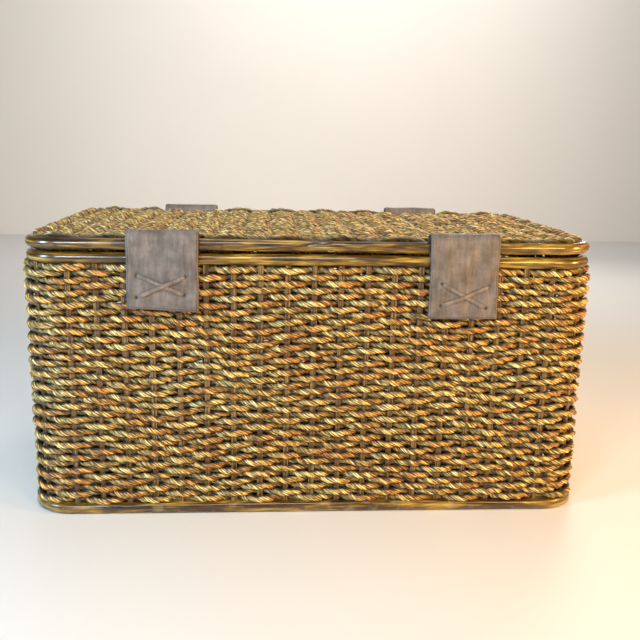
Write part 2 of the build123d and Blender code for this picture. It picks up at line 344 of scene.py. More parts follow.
def stake_material(name, axis, dark=1.0):
    """Split rattan: pale, fine straight grain, slight shine."""
    m = NT(name)
    x, y, z = m.sep(m.coords("Object"))
    lo = {"z": (260.0, 260.0, 12.0), "y": (260.0, 10.0, 260.0)}[axis]
    g = m.noise(m.comb(m.math("MULTIPLY", x, lo[0] * 3), m.math("MULTIPLY", y, lo[1] * 3 if axis == "z" else lo[1]), m.math("MULTIPLY", z, lo[2] if axis == "z" else lo[2] * 3)), 1.0, 3.0, 0.6)
    b = m.noise(m.comb(m.math("MULTIPLY", x, 45.0), m.math("MULTIPLY", y, 45.0), m.math("MULTIPLY", z, 30.0)), 1.0, 2.0, 0.5)
    c = m.ramp(g, [(0.36, (0.022, 0.010, 0.003)), (0.47, (0.095, 0.050, 0.013)), (0.60, (0.31, 0.200, 0.070))])
    c = m.mix(m.maprange(b, 0.46, 0.62, 0, 0.8), c, (0.095, 0.042, 0.012))
    if dark != 1.0:
        c = m.mix(1.0, c, (dark, dark, dark), "MULTIPLY")
    m.base(c)
    m.rough(m.maprange(g, 0.3, 0.7, 0.42, 0.30))
    m.const("Specular IOR Level", 0.5)
    m.const("Coat Weight", 0.5)
    m.const("Coat Roughness", 0.22)
    m.normal(m.bump(g, 0.0005, 0.5))
    return m.mat


def leather_material(name, tone=(0.140, 0.120, 0.112)):
    """Matt taupe leather with pores, soft creases, paler rubbed places and dark cut edges; on the lace the edge value
    paints a shadow outline, and painted shade darkens the lace holes.
    """
    m = NT(name)
    u, v, _ = m.sep(m.uv())
    edge = m.attr("edge")
    hole_shade = m.attr("hole_shade")
    vec = m.comb(u, v, 0.0)
    vor = m.n("ShaderNodeTexVoronoi", feature="DISTANCE_TO_EDGE")
    m.link(vec, vor.inputs["Vector"])
    vor.inputs["Scale"].default_value = 900.0
    pores = m.maprange(vor.outputs["Distance"], 0.0, 0.25, 0.0, 1.0)
    cloud = m.noise(vec, 55.0, 4.0, 0.6)
    streak = m.noise(m.comb(m.math("MULTIPLY", u, 260.0), m.math("MULTIPLY", v, 38.0), 2.0), 1.0, 3.0, 0.6)
    crease = m.noise(m.comb(m.math("MULTIPLY", u, 20.0), m.math("MULTIPLY", v, 150.0), 5.0), 1.0, 3.0, 0.65)
    t = tone
    c = m.ramp(m.math("ADD", m.math("MULTIPLY", cloud, 0.6), m.math("MULTIPLY", streak, 0.4)),
               [(0.36, tuple(0.58 * a for a in t)), (0.50, t), (0.63, tuple(min(1, 1.55 * a) for a in t))])
    c = m.mix(m.maprange(pores, 0.0, 0.35, 0.28, 0.0), c, tuple(0.45 * a for a in t))
    # dark cut edges on the strap; on the lace the same value is a painted shadow outline along its sides
    c = m.mix(m.math("MULTIPLY", edge, 0.6), c, (0.07, 0.046, 0.033))
    # painted shade: the lace holes are painted near black
    c = m.mix(hole_shade, c, (0.012, 0.008, 0.006))
    m.base(c)
    m.rough(m.maprange(cloud, 0.35, 0.65, 0.50, 0.36))
    m.const("Specular IOR Level", 0.5)
    h = m.math("ADD", m.math("MULTIPLY", pores, 0.35), m.math("ADD", m.math("MULTIPLY", crease, 0.9), m.math("MULTIPLY", streak, 0.3)))
    m.normal(m.bump(h, 0.00045, 0.7))
    return m.mat


def thread_material(name, col):
    m = NT(name)
    n = m.noise(m.coords("Object"), 1500.0, 2.0, 0.6)
    m.base(m.ramp(n, [(0.3, tuple(0.6 * a for a in col)), (0.7, tuple(1.25 * a for a in col))]))
    m.rough(0.7)
    m.const("Specular IOR Level", 0.35)
    m.normal(m.bump(n, 0.0002, 0.5))
    return m.mat


def wire_material(name):
    m = NT(name)
    n = m.noise(m.coords("Object"), 900.0, 3.0, 0.6)
    m.base(m.ramp(n, [(0.35, (0.20, 0.19, 0.18)), (0.6, (0.52, 0.52, 0.52))]))
    m.rough(m.maprange(n, 0.3, 0.7, 0.5, 0.3))
    m.const("Metallic", 0.85)
    m.normal(m.bump(n, 0.0002, 0.5))
    return m.mat


def stage_material(name, col, rough=0.75):
    m = NT(name)
    n = m.noise(m.coords("Object"), 1.3, 2.0, 0.5)
    m.base(m.ramp(n, [(0.3, tuple(0.97 * a for a in col)), (0.7, col)]))
    m.rough(rough)
    m.const("Specular IOR Level", 0.3)
    return m.mat


M_ROPE = rope_material("seagrass_rope")
# painted shade: the lid's rope is the wall rope darkened to 0.82, shade painted in to tone down its brightly lit top
M_ROPE_LID_SHADED = rope_material("seagrass_rope_lid_shaded", 0.82)
M_ROPE_BASE = rope_material("seagrass_rope_base", 0.8)
M_POLE = pole_material("rattan_pole")
M_POLE_BASE = pole_material("rattan_pole_base", 0.35)
M_STAKE = stake_material("rattan_stake", "z")
M_STAKE_Y = stake_material("rattan_stake_flat", "y", 0.9)
M_LEATHER = leather_material("leather_strap")
M_THONG = leather_material("leather_thong", (0.185, 0.155, 0.138))
M_THREAD = thread_material("stitch_thread", (0.040, 0.030, 0.026))
M_WIRE = wire_material("staple_wire")

# =====================================================================
#  The basket's plan
# =====================================================================
HX, HY, RC = 0.2968, 0.1638, 0.036
SX, SY = HX - RC, HY - RC
ARC = RC * math.pi / 2
SEGS = [("l", (0.0, -HY), (1, 0), SX), ("a", (SX, -SY), -90, ARC), ("l", (HX, -SY), (0, 1), 2 * SY), ("a", (SX, SY), 0, ARC),
        ("l", (SX, HY), (-1, 0), 2 * SX), ("a", (-SX, SY), 90, ARC), ("l", (-HX, SY), (0, -1), 2 * SY), ("a", (-SX, -SY), 180, ARC),
        ("l", (-SX, -HY), (1, 0), SX)]
PERIM = sum(s[3] for s in SEGS)


WALL_OFF = 0.0012


def plan(s):
    """Point and outward direction on the rims' centre line at arc length s, from the middle of the front."""
    s = np.mod(s, PERIM)
    p = np.zeros((len(s), 2))
    n = np.zeros((len(s), 2))
    a = 0.0
    for kind, o, d, L in SEGS:
        k = (s >= a - 1e-12) & (s <= a + L + 1e-12)
        t = s[k] - a
        if kind == "l":
            p[k] = np.array(o) + t[:, None] * np.array(d)
            n[k] = (d[1], -d[0])
        else:
            th = np.radians(d) + t / RC
            n[k] = np.stack([np.cos(th), np.sin(th)], -1)
            p[k] = np.array(o) + RC * n[k]
        a += L
    return p, n


N_FRONT, P_FRONT, N_SIDE, P_SIDE = 19, 0.0282, 9, 0.029
XS = [(i - (N_FRONT - 1) / 2) * P_FRONT for i in range(N_FRONT)]
YS = [(i - (N_SIDE - 1) / 2) * P_SIDE for i in range(N_SIDE)]
st = [x % PERIM for x in XS]
a1 = SX + ARC
st += [SX + ARC / 2]
st += [a1 + (y + SY) for y in YS]
a2 = a1 + 2 * SY + ARC
st += [a1 + 2 * SY + ARC / 2]
st += [a2 + (SX - x) for x in reversed(XS)]
a3 = a2 + 2 * SX + ARC
st += [a2 + 2 * SX + ARC / 2]
st += [a3 + (SY - y) for y in reversed(YS)]
st += [a3 + 2 * SY + ARC / 2]
STAKES = np.sort(np.array(st))
NS = len(STAKES)

STRAP_X, STRAP_W = 0.1562, 0.073
LID_Z, BODY_Z, RAIL_R = 0.2946, 0.2795, 0.0062
TAB_BOT = {"left": 0.2285, "right": 0.2210}
HINGE_BOT = 0.222


def window(x, c, half, soft=0.004):
    return 1 / (1 + np.exp(-(half - np.abs(x - c)) / soft * 4))


# =====================================================================
#  Twisted rope
# =====================================================================
LOBES = 7


def rope_section(sections):
    """Polar radius of the rope's section: two plies side by side, each of a few rounded strands."""
    per = sections // LOBES
    a = np.arange(sections) / sections * 2 * math.pi
    h, r = 0.30, 0.70
    rho = h * np.abs(np.cos(a)) + np.sqrt(r * r - (h * np.sin(a)) ** 2)
    if per >= 2:
        lobe = np.abs(np.cos(LOBES / 2 * (a + math.pi / LOBES)))
        rho = rho * (0.87 + 0.17 * lobe ** 0.6)
    else:
        lobe = np.ones(sections)
    # g is 1 on the strands' crowns and 0 in the grooves between strands and plies; the rope material paints shade into
    # the grooves from it
    g = 0.55 * lobe + 0.45 * (rho - rho.min()) / (rho.max() - rho.min())
    return a, rho, g


class Ropes:
    def __init__(self):
        self.V, self.Q, self.T, self.U, self.F = [], [], [], [], []
        self.tint, self.groove, self.ao = [], [], []
        self.nv = 0
        self.strips = []
        self.ao_power, self.ao_floor = 0.9, 0.05

    def add(self, cen, up, radius, lay, sections, rng, closed, step, tint, row, side, handed=-1.0, wob=0.9):
        """cen (n,3); up (n,3) the section's first direction (outward); radius (n,); side (n,) +1 before a stake, -1 behind"""
        n = len(cen)
        if closed:
            t = np.roll(cen, -1, 0) - np.roll(cen, 1, 0)
        else:
            t = np.gradient(cen, axis=0)
        t /= np.linalg.norm(t, axis=1)[:, None]
        nn = up - (up * t).sum(1)[:, None] * t
        nn /= np.linalg.norm(nn, axis=1)[:, None]
        bb = np.cross(t, nn)
        L = n * step
        turns = L / lay
        if closed:
            turns = round(turns)
        k = np.arange(n) / n
        ph = handed * 2 * math.pi * turns * k + rng.uniform(0, 6.28)
        if not closed:
            ph = ph + wob * smoothnoise1(n, rng, 20)
        else:
            w = smoothnoise1(n, rng, 20)
            ph = ph + wob * w * np.sin(math.pi * k) ** 0.3
        a, rho, g = rope_section(sections)
        ang = a[None, :] + ph[:, None]
        # the second ply is never quite the same size as the first
        r = radius[:, None] * rho[None, :]
        per_lobe = sections // LOBES
        fade = np.sin(math.pi * k) ** 0.15
        lob = np.stack([smoothnoise1(n, rng, 3) * fade for _ in range(LOBES)], 1)
        if per_lobe >= 2:
            r = r * (1 + 0.085 * np.repeat(lob, per_lobe, 1))
        # painted shade (ambient occlusion) for the base colour: dark where the section faces the neighbouring rows, and
        # darker on the face turned towards a stake
        ca = np.cos(ang)
        e = 0.5 + 0.5 * side[:, None] * ca
        ao = (self.ao_floor + (1 - self.ao_floor) * np.abs(ca) ** self.ao_power) * (0.40 + 0.60 * e)
        co = cen[:, None, :] + r[..., None] * (np.cos(ang)[..., None] * nn[:, None, :] - np.sin(ang)[..., None] * bb[:, None, :])
        # handedness: seen from outside the strands fall to the right
        base = self.nv
        m = n if closed else n - 1
        i = np.arange(m)[:, None]
        j = np.arange(sections)[None, :]
        i2 = (i + 1) % n
        j2 = (j + 1) % sections
        q = np.stack([base + i * sections + j + 0 * i, base + i2 * sections + j, base + i2 * sections + j2, base + i * sections + j2], -1)
        self.V.append(co.reshape(-1, 3))
        self.Q.append(q.reshape(-1, 4))
        if not closed:
            for end, flip in ((0, False), (n - 1, True)):
                c0 = base + end * sections
                for kk in range(1, sections - 1):
                    tr = (c0, c0 + kk, c0 + kk + 1)
                    self.T.append(tr[::-1] if flip else tr)
        cuts = max(1, int(round(L / 0.5)))
        per = m / cuts
        seg = np.minimum((i / per).astype(int), cuts - 1) + 0 * j
        ul = i / per - seg
        ur = (i + 1) / per - seg
        vl = j / sections + 0 * i
        vr = (j + 1) / sections + 0 * i
        self.strips.append((cuts, seg.reshape(-1), np.stack([np.stack([ul, vl], -1), np.stack([ur, vl], -1), np.stack([ur, vr], -1), np.stack([ul, vr], -1)], 2).reshape(-1, 4, 2)))
        off = row * 3.17
        fu0, fu1 = (i * step + 0 * j + row * 0.71), ((i + 1) * step + 0 * j + row * 0.71)
        self.F.append(np.stack([np.stack([fu0, vl + off], -1), np.stack([fu1, vl + off], -1), np.stack([fu1, vr + off], -1), np.stack([fu0, vr + off], -1)], 2).reshape(-1, 2))
        self.tint.append(np.repeat(tint, sections))
        self.groove.append(np.tile(g, n))
        self.ao.append(ao.reshape(-1))
        self.nv += n * sections

    def build(self, name, mat):
        total = sum(c for c, _, _ in self.strips)
        out, y = [], 0
        for cuts, seg, uv in self.strips:
            v = (y + seg[:, None] + 0.05 + 0.9 * uv[:, :, 1]) / total
            out.append(np.stack([0.002 + 0.996 * np.clip(uv[:, :, 0], 0, 1), v], -1).reshape(-1, 2))
            y += cuts
        return mesh_object(name, np.concatenate(self.V), np.concatenate(self.Q), np.concatenate(out),
                           {"tint": np.concatenate(self.tint), "groove": np.concatenate(self.groove), "ao": np.concatenate(self.ao)},
                           tris=self.T, mat=mat, uv2=np.concatenate(self.F))


# =====================================================================
#  Walls
# =====================================================================
rngw = np.random.default_rng(SEED)
flow = Field(rngw, 0.19, 10)
flow2 = Field(rngw, 0.075, 10)
bulge = Field(rngw, 0.15, 8)
ROWS, Z_LOW, Z_HIGH = 38, 0.0157, 0.2697
STEP_W = 0.0024
R_ROPE = 0.00415
nW = int(PERIM / STEP_W)
sW = np.arange(nW) / nW * PERIM
pW, nWn = plan(sW)
idx = np.searchsorted(STAKES, sW, side="right") - 1
s_lo = np.where(idx >= 0, STAKES[idx], STAKES[-1] - PERIM)
s_hi = np.where(idx + 1 < NS, STAKES[(idx + 1) % NS], STAKES[0] + PERIM)
tW = (sW - s_lo) / (s_hi - s_lo)
iW = np.mod(idx, NS)
sm = tW * tW * (3 - 2 * tW)
# a continuous "arc height" frame for the noise, without a seam at the front middle
fxW, fyW = pW[:, 0] * 1.0, pW[:, 1] * 1.0


def wall_row(r, ropes):
    z0 = Z_LOW + (Z_HIGH - Z_LOW) * r / (ROWS - 1)
    env = max(0.0, math.sin(math.pi * min(1, max(0, (z0 - 0.010) / 0.266)))) ** 0.6
    rng = np.random.default_rng(SEED + 100 + r)
    amp = 0.0038 + rng.normal(0, 0.00035, NS)
    dz = rng.normal(0, 0.00045, NS)
    A = amp[iW] * (1 - sm) + amp[(iW + 1) % NS] * sm
    Z = dz[iW] * (1 - sm) + dz[(iW + 1) % NS] * sm
    c = np.cos(math.pi * (idx + tW) + math.pi * r)
    c = np.sign(c) * np.abs(c) ** 0.85
    d = A * c
    z = z0 + Z + env * (0.0030 * flow(fxW * 1.0 + 3 * fyW, z0 + 0.6 * fyW) + 0.0007 * flow2(fxW + 2 * fyW, z0))
    # the rows dip at the front left and rise again towards the middle
    fr = (nWn[:, 1] < -0.5)
    z = z + fr * env * 0.0035 * (np.exp(-((fxW + 0.255) / 0.05) ** 2) * 0.6 - np.exp(-((fxW + 0.16) / 0.06) ** 2) * 0.8 * math.exp(-((z0 - 0.10) / 0.07) ** 2))
    # pressed in under the leather
    press = np.zeros(nW)
    for sx, b in ((-STRAP_X, TAB_BOT["left"]), (STRAP_X, TAB_BOT["right"])):
        if z0 > b - 0.004:
            press = np.maximum(press, fr * window(fxW, sx, STRAP_W / 2 + 0.001))
        if z0 > HINGE_BOT - 0.004:
            press = np.maximum(press, (nWn[:, 1] > 0.5) * window(fxW, sx, STRAP_W / 2 + 0.001))
    flare = WALL_OFF + 0.0010 * max(0.0, 1 - z0 / 0.20) + nWn[:, 0] ** 2 * (0.0022 + 0.0010 * max(0.0, (z0 - 0.12) / 0.15))
    d = d + 0.0004 * bulge(fxW, z0 + fyW) + flare
    d = d * (1 - press) + press * np.minimum(d, 0.0034)
    cen = np.stack([pW[:, 0] + nWn[:, 0] * d, pW[:, 1] + nWn[:, 1] * d, z], -1)
    up = np.stack([nWn[:, 0], nWn[:, 1], np.zeros(nW)], -1)
    rad = R_ROPE * (1 + 0.07 * smoothnoise1(nW, rng, 26) * np.sin(math.pi * np.arange(nW) / nW) ** 0.2)
    tint = np.clip(0.46 + 0.06 * rng.normal() + 0.30 * smoothnoise1(nW, rng, 13) + 0.12 * smoothnoise1(nW, rng, 5), 0, 1)
    # each row starts somewhere else along the back
    k0 = int(nW * (0.5 + rng.uniform(-0.13, 0.13)))
    # painted light: seen from outside, each float is shifted from greenish straw at one end to orange at the other, the
    # cool and warm side lamps painted into its colour
    tint = np.clip(tint + 0.13 * np.roll(np.sin(math.pi * (idx + tW) + math.pi * r), -k0), 0, 1)
    lay = 0.027 * (1 + 0.06 * rng.normal())
    cen, up, side = np.roll(cen, -k0, 0), np.roll(up, -k0, 0), np.roll(c, -k0)
    ropes.add(cen, up, rad, lay, 21, rng, True, STEP_W, tint, r, side)


WALL_NODES = ["weave_front", "weave_back", "weave_left", "weave_right", "weave_corner_front_left",
              "weave_corner_front_right", "weave_corner_back_left", "weave_corner_back_right"]
band = 5
k = 0
for r0 in range(0, ROWS, band):
    ropes = Ropes()
    for r in range(r0, min(ROWS, r0 + band)):
        wall_row(r, ropes)
    ob = ropes.build("wall_rope_rows_%d" % (k + 1), M_ROPE)
    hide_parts(*WALL_NODES)
    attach(ob, "basket")
    k += 1

# =====================================================================
#  Lid and base weave: rows from left to right over stakes that run front to back
# =====================================================================
N_LID, P_LID = 19, 0.0295
XL = np.array([(i - (N_LID - 1) / 2) * P_LID for i in range(N_LID)])


def half_len(y, hx, hy, rc):
    """Half length of a row at y inside a rounded rectangle."""
    a = abs(y) - (hy - rc)
    if a <= 0:
        return hx
    return hx - rc + math.sqrt(max(0.0, rc * rc - a * a))


def panel(name, zc, amp, rad, hx, hy, rc, pitch, step, sections, mat, seed, body, nodes, pieces, lid, lay):
    rng0 = np.random.default_rng(seed)
    fl = Field(rng0, 0.17, 9)
    ht = Field(rng0, 0.21, 8)
    n_rows = int(round((2 * hy - 2 * rad) / pitch)) + 1
    ys = np.linspace(-hy + rad, hy - rad, n_rows)
    per = math.ceil(n_rows / pieces)
    objs = []
    for k0 in range(0, n_rows, per):
        ropes = Ropes()
        ropes.ao_power, ropes.ao_floor = (1.4, 0.26) if lid else (0.9, 0.05)
        for r in range(k0, min(n_rows, k0 + per)):
            y0 = ys[r]
            rng = np.random.default_rng(seed + 1 + r)
            hl = half_len(y0, hx, hy, rc) - 0.001
            n = max(8, int(2 * hl / step))
            x = np.linspace(-hl, hl, n)
            g = (x - XL[0]) / P_LID
            c = np.cos(math.pi * g + math.pi * r)
            c = np.sign(c) * np.abs(c) ** 0.85
            i = np.clip(np.floor(g).astype(int) + 3, 0, N_LID + 5)
            t = g - np.floor(g)
            sm_ = t * t * (3 - 2 * t)
            am = amp + rng.normal(0, amp * 0.08, N_LID + 8)
            dy = rng.normal(0, 0.0004, N_LID + 8)
            A = am[i] * (1 - sm_) + am[i + 1] * sm_
            Y = dy[i] * (1 - sm_) + dy[i + 1] * sm_
            env = max(0.0, math.sin(math.pi * r / (n_rows - 1))) ** 0.5 if n_rows > 1 else 0
            y = y0 + Y + env * 0.0028 * fl(x, y0)
            if not lid:
                z = zc + A * c
            else:
                # distance in from the panel's rounded edge
                qx = np.maximum(np.abs(x) - (hx - rc), 0)
                qy = np.maximum(np.abs(y) - (hy - rc), 0)
                e = np.where((qx > 0) & (qy > 0), rc - np.sqrt(qx ** 2 + qy ** 2), np.minimum(hx - np.abs(x), hy - np.abs(y)))
                rise = np.exp(-(np.maximum(e, 0) / 0.0085) ** 2)
                edge = np.clip(e / 0.05, 0, 1)
                z = zc + A * c * (1 - 0.62 * rise) + 0.0058 * rise
                z = z + 0.0012 * ht(x, y0) * edge + 0.0016 * edge
                for sx in (-STRAP_X, STRAP_X):
                    w = window(x, sx, STRAP_W / 2 + 0.002, 0.003)
                    y = y - w * math.copysign(0.0034 * math.exp(-(hy - abs(y0) - 0.0107) / 0.011), y0) * (abs(y0) > hy - 0.06)
                # the cut ends turn down beside the rim
                z = z - 0.0024 * np.exp(-(hl - np.abs(x)) / 0.003)
            cen = np.stack([x, y, z], -1)
            up = np.tile(np.array([0, 0, 1.0]), (n, 1))
            rr_ = rad * (1 + 0.07 * smoothnoise1(n, rng, 26))
            tint = np.clip(0.44 + 0.06 * rng.normal() + 0.30 * smoothnoise1(n, rng, 13) + 0.12 * smoothnoise1(n, rng, 5), 0, 1)
            ly = lay * (1 + 0.06 * rng.normal())
            cuts_at = [np.ones(n, bool)]
            if lid and abs(y0) > hy - 0.0080:
                g_ = STRAP_W / 2 + 0.0020
                cuts_at = [x < -STRAP_X - g_, np.abs(x) < STRAP_X - g_, x > STRAP_X + g_]
            for ck, keep in enumerate(cuts_at):
                if keep.sum() < 6:
                    continue
                ci = cen[keep].copy()
                if len(cuts_at) == 3:
                    kk = np.arange(len(ci))
                    if ck > 0:
                        ci[:, 2] -= 0.0030 * np.exp(-kk / 2.0)
                    if ck < 2:
                        ci[:, 2] -= 0.0030 * np.exp(-(len(ci) - 1 - kk) / 2.0)
                ropes.add(ci, up[keep], rr_[keep], ly, sections, rng, False, step, tint[keep], r + 40 + ck * 60, c[keep])
        ob = ropes.build("%s_%d" % (name, len(objs) + 1), mat)
        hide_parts(*nodes)
        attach(ob, body)
        objs.append(ob)
    return objs


panel("lid_rope_rows", 0.2965, 0.0038, 0.0038, HX - 0.0022, HY - 0.0005, RC - 0.0010, 0.00690, 0.0024, 21,
      M_ROPE_LID_SHADED, SEED + 900, "lid", ["lid_weave"], 4, True, 0.026)
panel("base_rope_rows", 0.0065, 0.0027, 0.0027, HX - 0.0056, HY - 0.0056, 0.030, 0.0060, 0.0036, 14,
      M_ROPE_BASE, SEED + 1700, "basket", ["base_weave"], 2, False, 0.024)

# =====================================================================
#  Rattan rims
# =====================================================================
def pole(name, z, sections, seed, prof, mat, body, node, joints_every=0.21, wave=0.0005, scarf=None, off=0.0):
    rng = np.random.default_rng(seed)
    n = int(PERIM / 0.0032)
    s = np.arange(n) / n * PERIM
    sg = np.mod(s + PERIM / 2, PERIM)            # starts at the middle of the back
    p, nn = plan(sg)
    p = p + nn * off
    a = np.arange(sections) / sections * 2 * math.pi
    win = np.sin(math.pi * np.arange(n) / n) ** 0.25
    # joints of the cane: a slight swelling with a scar line
    js, x = [], rng.uniform(0.02, joints_every)
    while x < PERIM - 0.02:
        js.append(x)
        x += joints_every * rng.uniform(0.7, 1.3)
    swell = np.zeros(n)
    scar = np.zeros(n)
    for j in js + [0.0, PERIM]:
        swell += 0.035 * np.exp(-((s - j) / 0.006) ** 2)
        scar += np.exp(-((s - j) / 0.0013) ** 2)
    oy = wave * smoothnoise1(n, rng, 40) * win
    oz = wave * smoothnoise1(n, rng, 50) * win
    pr = prof(a)                                  # (sections, 2) outward, up
    lump = 1 + swell[:, None] + 0.012 * (smoothnoise1(n, rng, 9) * win)[:, None] * np.cos(a)[None, :] + 0.012 * (smoothnoise1(n, rng, 14) * win)[:, None] - 0.03 * scar[:, None]
    q1 = pr[None, :, 0] * lump
    q2 = pr[None, :, 1] * lump
    if scarf:
        # two cut ends lapped over each other: a slanting open seam across the front
        s0, s1, depth = scarf
        ss = np.where(sg > PERIM / 2, sg - PERIM, sg)
        t = (ss - s0) / (s1 - s0)
        inside = (t > 0) & (t < 1)
        line = math.radians(-50) + np.clip(t, 0, 1) * math.radians(100)
        dd = (a[None, :] - line[:, None] + math.pi) % (2 * math.pi) - math.pi
        cut = np.exp(-(dd / 0.16) ** 2) * inside[:, None]
        q1 = q1 * (1 - depth * cut)
        q2 = q2 * (1 - depth * cut)
    else:
        cut = np.zeros((n, sections))
    co = np.stack([p[:, None, 0] + nn[:, None, 0] * (q1 + oy[:, None]), p[:, None, 1] + nn[:, None, 1] * (q1 + oy[:, None]), z + q2 + oz[:, None]], -1)
    i = np.arange(n)[:, None]
    j = np.arange(sections)[None, :]
    i2, j2 = (i + 1) % n, (j + 1) % sections
    q = np.stack([i * sections + j, i2 * sections + j, i2 * sections + j2, i * sections + j2], -1).reshape(-1, 4)
    cuts = 4
    per = n / cuts
    seg = np.minimum((i / per).astype(int), cuts - 1) + 0 * j
    ul, ur = i / per - seg, (i + 1) / per - seg
    vl, vr = j / sections + 0 * i, (j + 1) / sections + 0 * i
    uv = np.stack([np.stack([ul, vl], -1), np.stack([ur, vl], -1), np.stack([ur, vr], -1), np.stack([ul, vr], -1)], 2).reshape(-1, 4, 2)
    v = (seg.reshape(-1)[:, None] + 0.04 + 0.92 * uv[:, :, 1]) / cuts
    uvs = np.stack([0.002 + 0.996 * np.clip(uv[:, :, 0], 0, 1), v], -1).reshape(-1, 2)
    ds = PERIM / n
    w = 0.039
    f = np.stack([np.stack([i * ds + 0 * j, vl * w], -1), np.stack([(i + 1) * ds + 0 * j, vl * w], -1), np.stack([(i + 1) * ds + 0 * j, vr * w], -1), np.stack([i * ds + 0 * j, vr * w], -1)], 2).reshape(-1, 2)
    f = f + np.array([seed * 1.37, seed * 0.011])
    jo = np.clip(np.repeat(scar, sections) + cut.reshape(-1) * 1.2, 0, 1)
    ob = mesh_object(name, co.reshape(-1, 3), q, uvs, {"joint": jo}, mat=mat, uv2=f)
    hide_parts(node)
    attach(ob, body)
    return ob


def round_prof(r):
    return lambda a: np.stack([r * np.cos(a), r * np.sin(a)], -1)


def base_prof(a):
    # 13 wide and 12 high, flat underneath, rounded above and outside
    x = np.sign(np.cos(a)) * np.abs(np.cos(a)) ** 0.62 * 0.0074
    z = np.sign(np.sin(a)) * np.abs(np.sin(a)) ** 0.66 * 0.0059
    return np.stack([x, z], -1)


pole("lid_rim_pole", LID_Z, 28, 11, round_prof(RAIL_R), M_POLE, "lid", "lid_rim", scarf=(-0.062, 0.018, 0.24))
pole("body_rim_pole", BODY_Z, 28, 23, round_prof(RAIL_R), M_POLE, "basket", "body_rim")
pole("base_rim_pole", 0.0061, 28, 37, base_prof, M_POLE_BASE, "basket", "base_rim", joints_every=0.26, wave=0.00015, off=0.0022)

# =====================================================================
#  Leather
# =====================================================================


def resample(pts, step):
    pts = np.asarray(pts, float)
    L = np.concatenate([[0], np.cumsum(np.linalg.norm(np.diff(pts, axis=0), axis=1))])
    n = int(L[-1] / step) + 1
    t = np.linspace(0, L[-1], n)
    return np.stack([np.interp(t, L, pts[:, k]) for k in range(pts.shape[1])], -1), t


def bend(ob, side):
    """Bakes the piece's transform into its mesh, the same way for either side."""
    if side < 0:
        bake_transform(ob)
    else:
        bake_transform(ob)


